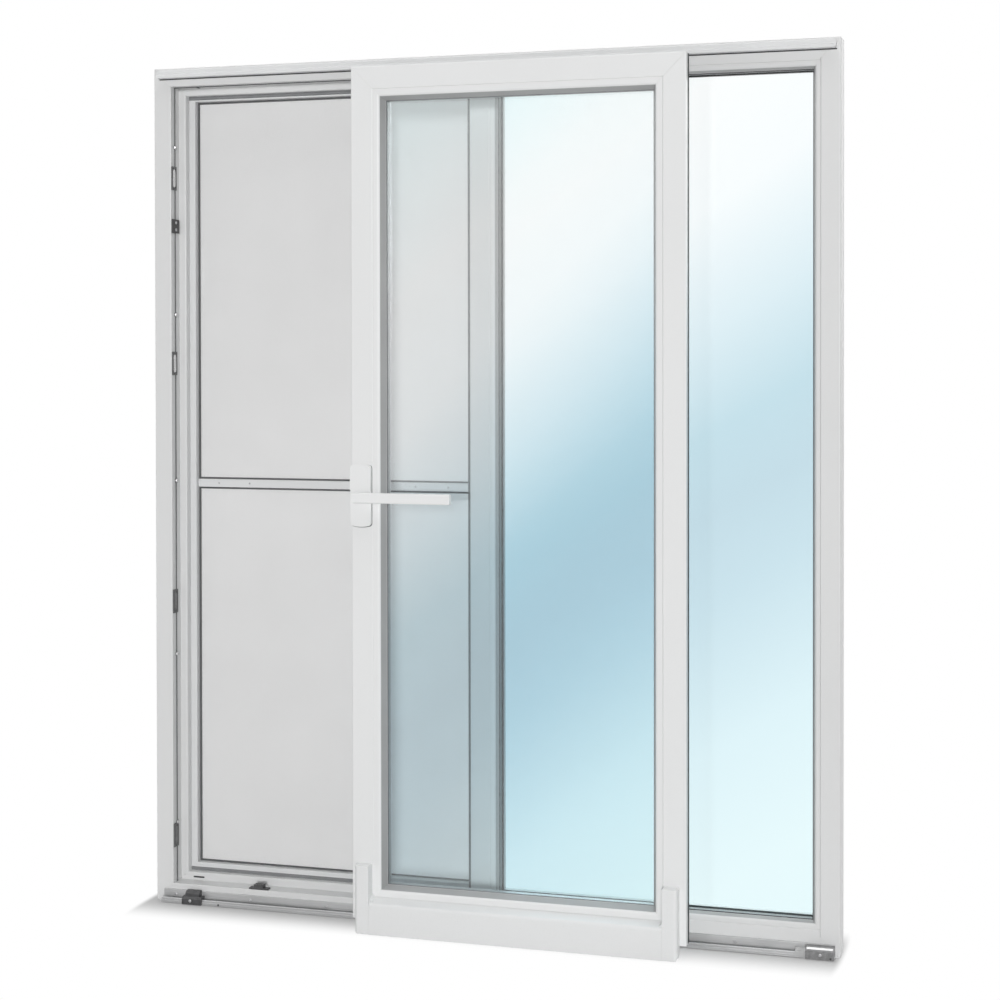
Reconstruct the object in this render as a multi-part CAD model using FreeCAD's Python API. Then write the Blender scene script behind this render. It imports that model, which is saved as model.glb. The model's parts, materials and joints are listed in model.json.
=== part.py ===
"""Tilt-and-slide patio door: a mitred PVC frame with a fixed pane and an insect screen,
and a glazed sash that hangs in front of the frame and runs along a bottom rail.

Millimetres. X runs along the wall, Y from the room outwards, Z up.
The origin is the middle of the sill's underside.
"""
import FreeCAD, Part
import math
import os

Vector = FreeCAD.Vector

# Outer frame
frame_width = 1800.0
frame_height = 2200.0
frame_face = 48.0
frame_lip = 20.0
frame_lip_thickness = 22.0
fixing_groove_width = 8.0
fixing_groove_depth = 3.0
fixing_groove_margin = 12.0
mullion_face = 52.0
fixed_sill_rise = 18.0
fixed_head_drop = 6.0
edge_radius = 2.5
lip_radius = 4.0
weld_seam = 0.25

# Double glazing, the same in both bays
pane_thickness = 4.0
pane_gap = 16.0
outer_gasket = 4.0
inner_gasket = 3.0
gasket_width = 9.0
gasket_reveal = 1.5
glass_play = 5.0
spacer_width = 8.0
spacer_setback = 1.0

# Glazing beads
bead_recess = 1.0
bead_front_share = 0.62
bead_nose = 6.0
fixed_bead_width = 18.0
fixed_bead_depth = 17.0
sash_bead_width = 26.0
sash_bead_depth = 29.0

# Sash profile, and where the sash hangs
sash_face = 57.0
sash_lip = 22.0
sash_lip_thickness = 10.0
sash_flange_reach = 20.0
sash_flange_thickness = 20.0
sash_side_overlap = 10.0
sash_end_overlap = 8.0
sash_gap = 70.0
sash_open_shift = 571.0
overlap_seal_width = 6.0
overlap_seal_height = 4.0
edge_plate_width = 16.0
edge_plate_thickness = 2.5
edge_plate_end_gap = 60.0

# Rails on the room face of the frame
guide_height = 21.0
guide_depth = 19.0
guide_wall = 2.5
guide_lip = 5.0
guide_lip_height = 8.0
guide_left_gap = 17.0
guide_right_gap = 9.0
rail_floor_gap = 2.0
rail_height = 31.0
rail_web = 4.0
rail_foot = 7.0
rail_nose = 2.0
rail_ridge_rise = 6.0
rail_ridge_width = 6.0
rail_left_gap = 23.0
rail_right_gap = 11.0

# Stops on the running rail
left_stop_length = 55.0
left_stop_inset = 62.0
left_stop_height = 34.0
left_stop_shoulder = 20.0
left_stop_step = 8.0
right_stop_length = 68.0
right_stop_height = 29.0
right_stop_bevel = 9.0
stop_reach = 6.0
buffer_length = 25.0
buffer_height = 21.0

# Keeps in the rebate of the opening bay
keep_length = 62.0
keep_width = 26.0
keep_thickness = 3.0
keep_wall = 5.0
keep_setback = 1.0
keep_low_end = 125.0
keep_high_end = 240.0
keep_spread = (0.0, 0.357, 0.719, 1.0)
catch_length = 36.0
catch_width = 38.0
catch_thickness = 4.0
catch_high_end = 366.0
tilt_keep_length = 52.0
tilt_keep_width = 18.0
tilt_keep_height = 13.0
tilt_keep_inset = 217.0

# Insect screen on the outer side of the opening bay
screen_bar = 34.0
screen_thickness = 27.0
screen_side_overlap = 22.0
screen_end_overlap = 17.0
screen_rise = 4.0
screen_shift = 4.5
screen_crossbar = 20.0
crossbar_thickness = 11.0
mesh_thickness = 0.8

# Runner cover on the foot of the sash
cover_inset = 16.0
cover_depth = 30.0
cover_height = 76.0
cover_bevel = 11.0
cover_shoulder = 10.0
cover_floor_gap = 10.0
cover_corner = 9.0
cover_wall = 3.0
end_cover_width = 37.0
end_cover_height = 170.0
part_line = 0.3

# Trolleys behind the cover, and guide arms on top of the sash
trolley_length = 150.0
trolley_stop_gap = 6.0
trolley_width = 16.0
trolley_rail_gap = 5.0
roller_radius = 11.0
roller_width = 10.0
roller_gap = 0.3
arm_width = 40.0
arm_thickness = 8.0
arm_drop = 6.0
arm_seal_gap = 3.0
guide_arm_width = 26.0
guide_arm_thickness = 4.0
guide_arm_left_inset = 155.0
guide_arm_right_inset = 255.0
guide_arm_gap = 8.0
glide_length = 50.0
glide_play = 1.0
guide_pin_radius = 2.5
guide_pin_play = 1.5
guide_pin_margin = 2.0

# Handle
handle_height = 1092.0
plate_width = 54.0
plate_above = 80.0
plate_below = 76.0
plate_depth = 12.0
plate_corner = 9.0
plate_sag = 6.0
plate_step = 4.0
lever_length = 252.0
lever_overhang = 9.0
lever_height = 25.5
lever_depth = 15.0
lever_projection = 42.0
lever_corner = 4.0
hub_radius = 8.5
hub_gap = 0.3

# Places worked out from the sizes above
glazing_depth = outer_gasket + 2 * pane_thickness + pane_gap + inner_gasket
frame_rebate = fixed_bead_depth + glazing_depth
frame_depth = frame_rebate + frame_lip_thickness
sash_rebate = sash_bead_depth + glazing_depth
sash_depth = sash_rebate + sash_lip_thickness
room_face = -frame_depth / 2
outer_face = frame_depth / 2
half_width = frame_width / 2
half_mullion = mullion_face / 2
frame_rect = (-half_width, half_width, 0.0, frame_height)
open_bay = (-half_width + frame_face, -half_mullion, frame_face, frame_height - frame_face)
fixed_bay = (
    half_mullion, half_width - frame_face,
    frame_face + fixed_sill_rise, frame_height - frame_face - fixed_head_drop)

sash_x0 = open_bay[0] - sash_side_overlap + sash_open_shift
sash_x1 = open_bay[1] + sash_side_overlap + sash_open_shift
sash_z0 = open_bay[2] - sash_end_overlap
sash_z1 = open_bay[3] + sash_end_overlap
sash_rect = (sash_x0, sash_x1, sash_z0, sash_z1)
sash_back = room_face - sash_gap
sash_front = sash_back - sash_depth
arm_y0 = sash_front + sash_flange_thickness + overlap_seal_height + arm_seal_gap
bay_pitch = (fixed_bay[0] + fixed_bay[1] - open_bay[0] - open_bay[1]) / 2

guide_x0 = -half_width + guide_left_gap
guide_x1 = half_width - guide_right_gap
guide_z0 = sash_z1 + guide_arm_thickness + guide_arm_gap
guide_z1 = guide_z0 + guide_height
guide_y = room_face - guide_depth / 2
guide_slot = 2 * (guide_pin_radius + guide_pin_play)
rail_x0 = -half_width + rail_left_gap
rail_x1 = half_width - rail_right_gap
rail_z0 = rail_floor_gap
rail_top = rail_z0 + rail_height
foot_top = rail_z0 + rail_foot
ridge_top = foot_top + rail_ridge_rise
web_face = room_face - rail_web
ridge_y = web_face - trolley_rail_gap - trolley_width / 2
rail_front = ridge_y - rail_ridge_width / 2 - rail_nose
left_stop_x0 = rail_x0 + left_stop_inset
left_stop_x1 = left_stop_x0 + left_stop_length
right_stop_x0 = rail_x1 - right_stop_length
buffer_x0 = right_stop_x0 - buffer_length


def inset(rect, distance):
    """Rectangle moved inwards on all four sides."""
    x0, x1, z0, z1 = rect
    return (x0 + distance, x1 - distance, z0 + distance, z1 - distance)


def box(x0, x1, y0, y1, z0, z1):
    """Box between two corners."""
    return Part.makeBox(x1 - x0, y1 - y0, z1 - z0, Vector(x0, y0, z0))


def outline(corners, place):
    """Closed wire through (u, v, radius) corners, with a tangent arc where a radius is given."""
    count = len(corners)
    turns = []
    for index, (u, v, radius) in enumerate(corners):
        here = Vector(u, v, 0)
        last = Vector(*corners[index - 1][:2], 0)
        following = Vector(*corners[(index + 1) % count][:2], 0)
        back = (last - here).normalize()
        ahead = (following - here).normalize()
        if radius > 0:
            half_angle = back.getAngle(ahead) / 2
            reach = radius / math.tan(half_angle)
            middle = here + (back + ahead).normalize() * (radius / math.sin(half_angle) - radius)
            turns.append((here + back * reach, middle, here + ahead * reach))
        else:
            turns.append((here, None, here))
    edges = []
    for index, (start, middle, end) in enumerate(turns):
        if middle is not None:
            edges.append(Part.Arc(place(start), place(middle), place(end)).toShape())
        following = turns[(index + 1) % count][0]
        if (following - end).Length > 1e-6:
            edges.append(Part.LineSegment(place(end), place(following)).toShape())
    return Part.Wire(edges)


def prism_along_x(corners, x0, x1):
    """Outline in (y, z), drawn out from x0 to x1."""
    wire = outline(corners, lambda p: Vector(x0, p.x, p.y))
    return Part.Face(wire).extrude(Vector(x1 - x0, 0, 0))


def prism_along_y(corners, y0, y1):
    """Outline in (x, z), drawn out from y0 to y1."""
    wire = outline(corners, lambda p: Vector(p.x, y0, p.y))
    return Part.Face(wire).extrude(Vector(0, y1 - y0, 0))


def prism_along_z(corners, z0, z1):
    """Outline in (x, y), drawn out from z0 to z1."""
    wire = outline(corners, lambda p: Vector(p.x, p.y, z0))
    return Part.Face(wire).extrude(Vector(0, 0, z1 - z0))


def mitred_bar(section, rect, side, front):
    """One side of a mitred frame. The section is (inwards, depth, radius) from the rect's edge."""
    x0, x1, z0, z1 = rect
    reach = max(corner[0] for corner in section)
    low, high = z0, z1
    if side in ("top", "bottom"):
        low, high = x0, x1
    places = {
        "left": lambda p: Vector(x0 + p.x, front + p.y, z0),
        "right": lambda p: Vector(x1 - p.x, front + p.y, z0),
        "bottom": lambda p: Vector(x0, front + p.y, z0 + p.x),
        "top": lambda p: Vector(x0, front + p.y, z1 - p.x),
    }
    lengths = {
        "left": Vector(0, 0, z1 - z0),
        "right": Vector(0, 0, z1 - z0),
        "bottom": Vector(x1 - x0, 0, 0),
        "top": Vector(x1 - x0, 0, 0),
    }
    bar = Part.Face(outline(section, places[side])).extrude(lengths[side])
    half_seam = weld_seam / 2 * math.sqrt(2)
    trapezium = [
        (0.0, low + half_seam),
        (reach, low + reach + half_seam),
        (reach, high - reach - half_seam),
        (0.0, high - half_seam),
    ]
    turned = {
        "left": lambda a, t: (x0 + a, t, 0),
        "right": lambda a, t: (x1 - a, t, 0),
        "bottom": lambda a, t: (t, z0 + a, 0),
        "top": lambda a, t: (t, z1 - a, 0),
    }
    depths = [corner[1] for corner in section]
    corners = [turned[side](a, t) for a, t in trapezium]
    mitre = prism_along_y(corners, front + min(depths) - 1, front + max(depths) + 1)
    return bar.common(mitre)


def ring(rect, width, y0, y1):
    """Flat rectangular ring that lies just inside the rect."""
    outer = rect
    inner = inset(rect, width)
    return box(outer[0], outer[1], y0, y1, outer[2], outer[3]).cut(
        box(inner[0], inner[1], y0 - 1, y1 + 1, inner[2], inner[3]))


def sheet(rect, y0, y1):
    """Flat sheet that fills the rect."""
    return box(rect[0], rect[1], y0, y1, rect[2], rect[3])


def group(solids):
    """Several pieces of one node."""
    return Part.makeCompound(solids)


def frame_members():
    """Jambs, head, sill and mullion."""
    section = [
        (0.0, 0.0, edge_radius),
        (frame_face, 0.0, edge_radius),
        (frame_face, frame_rebate, 0.0),
        (frame_face + frame_lip, frame_rebate, lip_radius),
        (frame_face + frame_lip, frame_depth, edge_radius),
        (0.0, frame_depth, edge_radius),
    ]
    groove_far = fixing_groove_margin + fixing_groove_width
    for low in (frame_depth - groove_far, fixing_groove_margin):
        high = low + fixing_groove_width
        section += [
            (0.0, high, 0.0),
            (fixing_groove_depth, high, 0.0),
            (fixing_groove_depth, low, 0.0),
            (0.0, low, 0.0),
        ]
    names = {"left": "left_jamb", "right": "right_jamb", "top": "head", "bottom": "sill"}
    members = {name: mitred_bar(section, frame_rect, side, room_face) for side, name in names.items()}
    lip_edge = half_mullion + frame_lip
    lip_front = room_face + frame_rebate

    def bay_step(edge, rise):
        """Step along the sill or the head that makes the fixed bay lower than the opening bay."""
        x0, x1 = fixed_bay[:2]
        inward = math.copysign(1, rise)
        foot = edge - inward * edge_radius
        face = edge + rise
        crest = face + inward * frame_lip
        seat = prism_along_x([
            (room_face, foot, 0.0),
            (room_face, face, edge_radius),
            (lip_front, face, 0.0),
            (lip_front, foot, 0.0),
        ], x0, x1)
        lip = prism_along_x([
            (lip_front, foot, 0.0),
            (lip_front, crest, lip_radius),
            (outer_face, crest, edge_radius),
            (outer_face, foot, 0.0),
        ], x0 + frame_lip, x1 - frame_lip)
        return seat.fuse(lip)

    steps = {"sill": (frame_face, fixed_sill_rise), "head": (frame_height - frame_face, -fixed_head_drop)}
    for name, (edge, rise) in steps.items():
        members[name] = members[name].fuse(bay_step(edge, rise)).removeSplitter()
    mullion = prism_along_z([
        (-half_mullion, room_face, edge_radius),
        (half_mullion, room_face, edge_radius),
        (half_mullion, lip_front, 0.0),
        (lip_edge, lip_front, lip_radius),
        (lip_edge, outer_face, edge_radius),
        (-lip_edge, outer_face, edge_radius),
        (-lip_edge, lip_front, lip_radius),
        (-half_mullion, lip_front, 0.0),
    ], frame_face, frame_height - frame_face)
    members["mullion"] = mullion.cut(members["head"]).cut(members["sill"])
    return members


def glazing(prefix, rebate_rect, front, lip, bead_width, bead_depth):
    """Glass, spacer, gaskets and beads that fill one rebate."""
    bead_back = front + bead_depth
    inner_front = bead_back + inner_gasket
    inner_back = inner_front + pane_thickness
    outer_front = inner_back + pane_gap
    outer_back = outer_front + pane_thickness
    lip_front = outer_back + outer_gasket
    glass_rect = inset(rebate_rect, glass_play)
    bead_section = [
        (0.0, bead_recess, 0.0),
        (bead_width * bead_front_share, bead_recess, bead_nose),
        (bead_width, bead_depth - bead_recess, 0.0),
        (bead_width, bead_depth, 0.0),
        (0.0, bead_depth, 0.0),
    ]
    outer_seat = inset(rebate_rect, lip + gasket_reveal - gasket_width)
    inner_seat = inset(rebate_rect, bead_width + gasket_reveal - gasket_width)
    spacer_rect = inset(rebate_rect, bead_width + gasket_reveal - spacer_setback - spacer_width)
    parts = {
        prefix + "_glass": group([
            sheet(glass_rect, outer_front, outer_back),
            sheet(glass_rect, inner_front, inner_back),
        ]),
        prefix + "_glass_spacer": ring(spacer_rect, spacer_width, inner_back, outer_front),
        prefix + "_gaskets": group([
            ring(outer_seat, gasket_width, outer_back, lip_front),
            ring(inner_seat, gasket_width, bead_back, inner_front),
        ]),
    }
    for side in ("left", "right", "top", "bottom"):
        parts[prefix + "_bead_" + side] = mitred_bar(bead_section, rebate_rect, side, front)
    return parts


def sash_members():
    """Stiles and rails of the sash, its overlap seal and the lock plates on its edges."""
    section = [
        (0.0, 0.0, edge_radius),
        (sash_face, 0.0, edge_radius),
        (sash_face, sash_rebate, 0.0),
        (sash_face + sash_lip, sash_rebate, lip_radius),
        (sash_face + sash_lip, sash_depth, edge_radius),
        (sash_flange_reach, sash_depth, edge_radius),
        (sash_flange_reach, sash_flange_thickness, 0.0),
        (0.0, sash_flange_thickness, edge_radius),
    ]
    names = {
        "left": "sash_left_stile",
        "right": "sash_right_stile",
        "top": "sash_top_rail",
        "bottom": "sash_bottom_rail",
    }
    parts = {name: mitred_bar(section, sash_rect, side, sash_front) for side, name in names.items()}
    flange_back = sash_front + sash_flange_thickness
    seal_rect = inset(sash_rect, edge_radius)
    parts["sash_overlap_seal"] = ring(
        seal_rect, overlap_seal_width, flange_back, flange_back + overlap_seal_height)
    body_rect = inset(sash_rect, sash_flange_reach)
    plate_y = (flange_back + sash_back) / 2
    plate_z0 = body_rect[2] + edge_plate_end_gap
    plate_z1 = body_rect[3] - edge_plate_end_gap
    plate_y0 = plate_y - edge_plate_width / 2
    plate_y1 = plate_y + edge_plate_width / 2
    parts["sash_lock_plates"] = group([
        box(body_rect[0] - edge_plate_thickness, body_rect[0], plate_y0, plate_y1, plate_z0, plate_z1),
        box(body_rect[1], body_rect[1] + edge_plate_thickness, plate_y0, plate_y1, plate_z0, plate_z1),
    ])
    return parts


def rails():
    """Head guide rail and bottom running rail on the room face of the frame."""
    guide_front = room_face - guide_depth
    guide_outside = [
        (guide_x0, guide_z0, guide_height / 3),
        (guide_x1, guide_z0, guide_height / 3),
        (guide_x1, guide_z1, guide_height / 3),
        (guide_x0, guide_z1, guide_height / 3),
    ]
    guide_section = [
        (room_face, guide_z0, 0.0),
        (room_face, guide_z1, 0.0),
        (guide_front, guide_z1, edge_radius),
        (guide_front, guide_z0 + guide_lip_height + guide_lip / 2, 0.0),
        (guide_front - guide_lip, guide_z0 + guide_lip_height, guide_lip / 3),
        (guide_front - guide_lip, guide_z0, guide_lip / 3),
    ]
    guide = prism_along_x(guide_section, guide_x0, guide_x1).common(
        prism_along_y(guide_outside, guide_front - guide_lip - 1, room_face + 1))
    channel_x0 = guide_x0 + guide_height / 2
    channel_x1 = guide_x1 - guide_height / 2
    channel = box(
        channel_x0, channel_x1,
        guide_front + guide_wall, room_face - guide_wall,
        guide_z0 + guide_wall, guide_z1 - guide_wall)
    slot = box(
        channel_x0, channel_x1,
        guide_y - guide_slot / 2, guide_y + guide_slot / 2,
        guide_z0 - 1, guide_z0 + guide_wall + 1)
    ridge_front = ridge_y - rail_ridge_width / 2
    ridge_back = ridge_y + rail_ridge_width / 2
    running_rail = prism_along_x([
        (room_face, rail_z0, 0.0),
        (room_face, rail_top, 0.0),
        (web_face, rail_top, rail_web / 3),
        (web_face, foot_top, 0.0),
        (ridge_back, foot_top, 0.0),
        (ridge_back, ridge_top, rail_ridge_width / 3),
        (ridge_front, ridge_top, rail_ridge_width / 3),
        (ridge_front, foot_top, 0.0),
        (rail_front, foot_top, rail_nose / 2),
        (rail_front, rail_z0, 0.0),
    ], rail_x0, rail_x1)
    return {"head_guide_rail": guide.cut(channel).cut(slot), "running_rail": running_rail}


def rail_stops(running_rail):
    """Control block at the left end of the running rail, stop and buffer at the right end."""
    def block(x0, x1, height, front, bevel=stop_reach):
        section = [
            (web_face, rail_z0, 0.0),
            (web_face, rail_z0 + height, 0.0),
            (front + bevel, rail_z0 + height, 0.0),
            (front, rail_z0 + height - bevel, 0.0),
            (front, rail_z0, 0.0),
        ]
        return prism_along_x(section, x0, x1).cut(running_rail)

    stop_front = rail_front - stop_reach
    left_foot = block(left_stop_x0, left_stop_x1, left_stop_shoulder, stop_front)
    left_head = block(
        left_stop_x0 + left_stop_step, left_stop_x1 - left_stop_step, left_stop_height, rail_front)
    return {
        "left_stop": left_foot.fuse(left_head).removeSplitter(),
        "right_stop": block(right_stop_x0, rail_x1, right_stop_height, stop_front, right_stop_bevel),
        "stop_buffer": block(buffer_x0, right_stop_x0, buffer_height, rail_front),
    }


def rebate_hardware():
    """Keeps and catches in the rebate of the opening bay, and the tilt keep on the sill."""
    x0, x1, z0, z1 = open_bay
    low = z0 + keep_low_end
    high = z1 - keep_high_end
    heights = [low + share * (high - low) for share in keep_spread]
    keep_y0 = room_face + keep_setback
    keep_y1 = keep_y0 + keep_width

    def keep(wall, inward, middle):
        x_low = min(wall, wall + inward * keep_thickness)
        body = box(
            x_low, x_low + keep_thickness,
            keep_y0, keep_y1,
            middle - keep_length / 2, middle + keep_length / 2)
        slot_x = wall + inward * keep_thickness / 2
        slot_low = min(slot_x, slot_x + inward * keep_thickness)
        slot = box(
            slot_low, slot_low + keep_thickness,
            keep_y0 + keep_wall, keep_y1 - keep_wall,
            middle - keep_length / 2 + keep_wall, middle + keep_length / 2 - keep_wall)
        return body.cut(slot)

    def catch(wall, inward):
        x_low = min(wall, wall + inward * catch_thickness)
        middle = z1 - catch_high_end
        return box(
            x_low, x_low + catch_thickness,
            keep_y0, keep_y0 + catch_width,
            middle - catch_length / 2, middle + catch_length / 2)

    tilt_x = x0 + tilt_keep_inset
    tilt_low = box(
        tilt_x, tilt_x + tilt_keep_length,
        keep_y0, keep_y0 + tilt_keep_width,
        z0, z0 + tilt_keep_height / 3)
    tilt_high = box(
        tilt_x + tilt_keep_length / 4, tilt_x + tilt_keep_length * 3 / 4,
        keep_y0, keep_y0 + tilt_keep_width,
        z0 + tilt_keep_height / 3, z0 + tilt_keep_height)
    return {
        "jamb_keeps": group([keep(x0, 1, height) for height in heights]),
        "mullion_keeps": group([keep(x1, -1, z0 + z1 - height) for height in heights]),
        "rebate_catches": group([catch(x0, 1), catch(x1, -1)]),
        "tilt_keep": tilt_low.fuse(tilt_high).removeSplitter(),
    }


def insect_screen():
    """Clip-in screen on the outer face of the frame, in front of the opening bay."""
    lip_rect = inset(open_bay, frame_lip)
    x0, x1, z0, z1 = lip_rect
    screen_rect = (
        x0 - screen_side_overlap + screen_shift, x1 + screen_side_overlap + screen_shift,
        z0 - screen_end_overlap + screen_rise, z1 + screen_end_overlap + screen_rise)
    section = [
        (0.0, 0.0, 0.0),
        (screen_bar, 0.0, edge_radius),
        (screen_bar, screen_thickness, edge_radius),
        (0.0, screen_thickness, edge_radius),
    ]
    parts = {
        "screen_bar_" + side: mitred_bar(section, screen_rect, side, outer_face)
        for side in ("left", "right", "top", "bottom")
    }
    x0, x1, z0, z1 = inset(screen_rect, screen_bar)
    middle = (z0 + z1) / 2
    bar_z0 = middle - screen_crossbar / 2
    bar_z1 = middle + screen_crossbar / 2
    bar_y1 = outer_face + screen_thickness
    bar_y0 = bar_y1 - crossbar_thickness
    parts["screen_crossbar"] = box(x0, x1, bar_y0, bar_y1, bar_z0, bar_z1)
    mesh_y0 = (bar_y0 + bar_y1) / 2 - mesh_thickness / 2
    mesh_y1 = mesh_y0 + mesh_thickness
    parts["screen_mesh"] = group([
        box(x0, x1, mesh_y0, mesh_y1, z0, bar_z0),
        box(x0, x1, mesh_y0, mesh_y1, bar_z1, z1),
    ])
    return parts


def runner_covers():
    """Cover along the foot of the sash, and an upright cover at each end."""
    x0 = sash_x0 + cover_inset
    x1 = sash_x1 - cover_inset
    z0 = cover_floor_gap
    shoulder = z0 + cover_height
    top = shoulder + cover_bevel
    crown = z0 + end_cover_height
    front = sash_front - cover_depth
    cover_section = [
        (sash_front, top - cover_wall, 0.0),
        (sash_front, top, 0.0),
        (front, shoulder, cover_shoulder),
        (front, z0, cover_wall / 3),
        (front + cover_wall, z0, cover_wall / 3),
        (front + cover_wall, shoulder - cover_wall, 0.0),
    ]
    cover = prism_along_x(
        cover_section, x0 + end_cover_width + part_line, x1 - end_cover_width - part_line)
    end_section = [
        (sash_front, z0, 0.0),
        (sash_front, crown, 0.0),
        (front, crown, edge_radius),
        (front, z0, edge_radius),
    ]

    def end_cover(outer, inward):
        inner = outer + inward * end_cover_width
        body = prism_along_x(end_section, min(outer, inner), max(outer, inner))
        plan = prism_along_z([
            (outer, sash_front, 0.0),
            (inner, sash_front, 0.0),
            (inner, front, 0.0),
            (outer, front, cover_corner),
        ], z0 - 1, crown + 1)
        face = prism_along_y([
            (outer, z0, cover_corner),
            (inner, z0, 0.0),
            (inner, crown, edge_radius),
            (outer, crown, edge_radius),
        ], front - 1, sash_front + 1)
        wall = outer + inward * cover_wall
        pocket = box(
            min(wall, inner), max(wall, inner), front + cover_wall, sash_front, z0 - 1, shoulder - cover_wall)
        return body.common(plan).common(face).cut(pocket)

    return {
        "runner_cover": cover,
        "left_end_cover": end_cover(x0, 1),
        "right_end_cover": end_cover(x1, -1),
    }


def trolley(x0):
    """Carriage with two rollers on the rail, and the arms that carry the sash's foot."""
    x1 = x0 + trolley_length
    roller_z = ridge_top + roller_gap + roller_radius
    rollers = []
    for x in (x0 + 2 * roller_radius, x1 - 2 * roller_radius):
        start = Vector(x, ridge_y - roller_width / 2, roller_z)
        rollers.append(Part.makeCylinder(roller_radius, roller_width, start, Vector(0, 1, 0)))
    foot_z = sash_z0 + sash_flange_reach
    arm_z1 = foot_z - arm_drop
    carriage = box(
        x0, x1, ridge_y - trolley_width / 2, ridge_y + trolley_width / 2, roller_z, arm_z1)
    arms = []
    for x in (x0, x1 - arm_width):
        arms.append(box(x, x + arm_width, arm_y0, ridge_y, arm_z1 - arm_thickness, arm_z1))
        arms.append(box(x, x + arm_width, arm_y0, sash_back, arm_z1, foot_z))
    whole = carriage
    for piece in rollers + arms:
        whole = whole.fuse(piece)
    return whole.removeSplitter()


def guide_arms():
    """Arms on top of the sash, each with a foot, and with a pin and a glide in the head guide rail."""
    foot_z = sash_z1 - sash_flange_reach
    arm_z0 = sash_z1
    arm_z1 = arm_z0 + guide_arm_thickness
    glide_z0 = guide_z0 + guide_wall + glide_play
    glide_z1 = guide_z1 - guide_wall - glide_play
    glide_y0 = room_face - guide_depth + guide_wall + glide_play
    glide_y1 = room_face - guide_wall - glide_play
    arms = []
    for x in (sash_x0 + guide_arm_left_inset, sash_x1 - guide_arm_right_inset):
        x0 = x - guide_arm_width / 2
        x1 = x + guide_arm_width / 2
        foot = box(x0, x1, arm_y0, sash_back, foot_z, arm_z0)
        arm = box(x0, x1, arm_y0, guide_y + guide_pin_radius + guide_pin_margin, arm_z0, arm_z1)
        pin = Part.makeCylinder(guide_pin_radius, glide_z0 - arm_z1, Vector(x, guide_y, arm_z1))
        glide = box(x - glide_length / 2, x + glide_length / 2, glide_y0, glide_y1, glide_z0, glide_z1)
        arms.append(foot.fuse(arm).fuse(pin).fuse(glide).removeSplitter())
    return group(arms)


def handle():
    """Back plate on the left stile, and the lever that turns on it."""
    axis_x = sash_x0 + plate_width / 2
    x0 = axis_x - plate_width / 2
    x1 = axis_x + plate_width / 2
    z0 = handle_height - plate_below
    z1 = handle_height + plate_above
    front = sash_front - plate_depth
    ledge_z = handle_height + lever_height / 2 + plate_step
    slope = math.atan2(plate_sag, plate_width / 2)
    chord = math.hypot(plate_sag, plate_width / 2)
    corner_reach = plate_corner * math.tan(math.pi / 4 - slope / 2)
    sag_radius = 0.95 * (chord - corner_reach) / math.tan(slope)
    face = prism_along_y([
        (x0, z0 + plate_sag, plate_corner),
        (axis_x, z0, sag_radius),
        (x1, z0 + plate_sag, plate_corner),
        (x1, z1, plate_corner),
        (x0, z1, plate_corner),
    ], front, sash_front)
    recess = box(x0 - 1, x1 + 1, front - 1, front + plate_step, z0 - 1, ledge_z)
    plate = face.cut(recess)
    plate_face = front + plate_step
    grip_front = sash_front - lever_projection
    grip_back = grip_front + lever_depth
    low = handle_height - lever_height / 2
    high = handle_height + lever_height / 2
    left = axis_x - lever_overhang
    right = left + lever_length
    bar = prism_along_y([
        (left, low, lever_corner),
        (right, low, lever_corner),
        (right, high, lever_corner),
        (left, high, lever_corner),
    ], grip_front, grip_back)
    rounded = prism_along_x([
        (grip_back, low, lever_corner),
        (grip_front, low, lever_corner),
        (grip_front, high, lever_corner),
        (grip_back, high, lever_corner),
    ], left, right)
    hub = Part.makeCylinder(
        hub_radius, plate_face - hub_gap - grip_back, Vector(axis_x, grip_back, handle_height), Vector(0, 1, 0))
    lever = bar.common(rounded).fuse(hub).removeSplitter()
    return {"handle_plate": plate, "handle_lever": lever}


def build():
    """All the nodes by name."""
    nodes = frame_members()
    nodes.update(glazing("fixed", fixed_bay, room_face, frame_lip, fixed_bead_width, fixed_bead_depth))
    nodes.update(rails())
    nodes.update(rail_stops(nodes["running_rail"]))
    nodes.update(rebate_hardware())
    nodes.update(insect_screen())
    nodes.update(sash_members())
    sash_rebate_rect = inset(sash_rect, sash_face)
    nodes.update(glazing("sash", sash_rebate_rect, sash_front, sash_lip, sash_bead_width, sash_bead_depth))
    nodes.update(runner_covers())
    nodes["left_trolley"] = trolley(left_stop_x1 + trolley_stop_gap + sash_open_shift)
    nodes["right_trolley"] = trolley(
        buffer_x0 - trolley_stop_gap - (bay_pitch - sash_open_shift) - trolley_length)
    nodes["guide_arms"] = guide_arms()
    nodes.update(handle())
    return nodes


os.makedirs("parts", exist_ok=True)
for node_name, shape in build().items():
    shape.exportStep("parts/" + node_name + ".step")
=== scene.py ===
"""Looks of the tilt-and-slide patio door: finishes, insect mesh, seals, fasteners, light and camera.

Metres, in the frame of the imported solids: X along the wall, Y from the room outwards, Z up.
"""
import bpy
import bmesh
import json
import math
from mathutils import Matrix, Vector
from mathutils.geometry import convex_hull_2d


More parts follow.
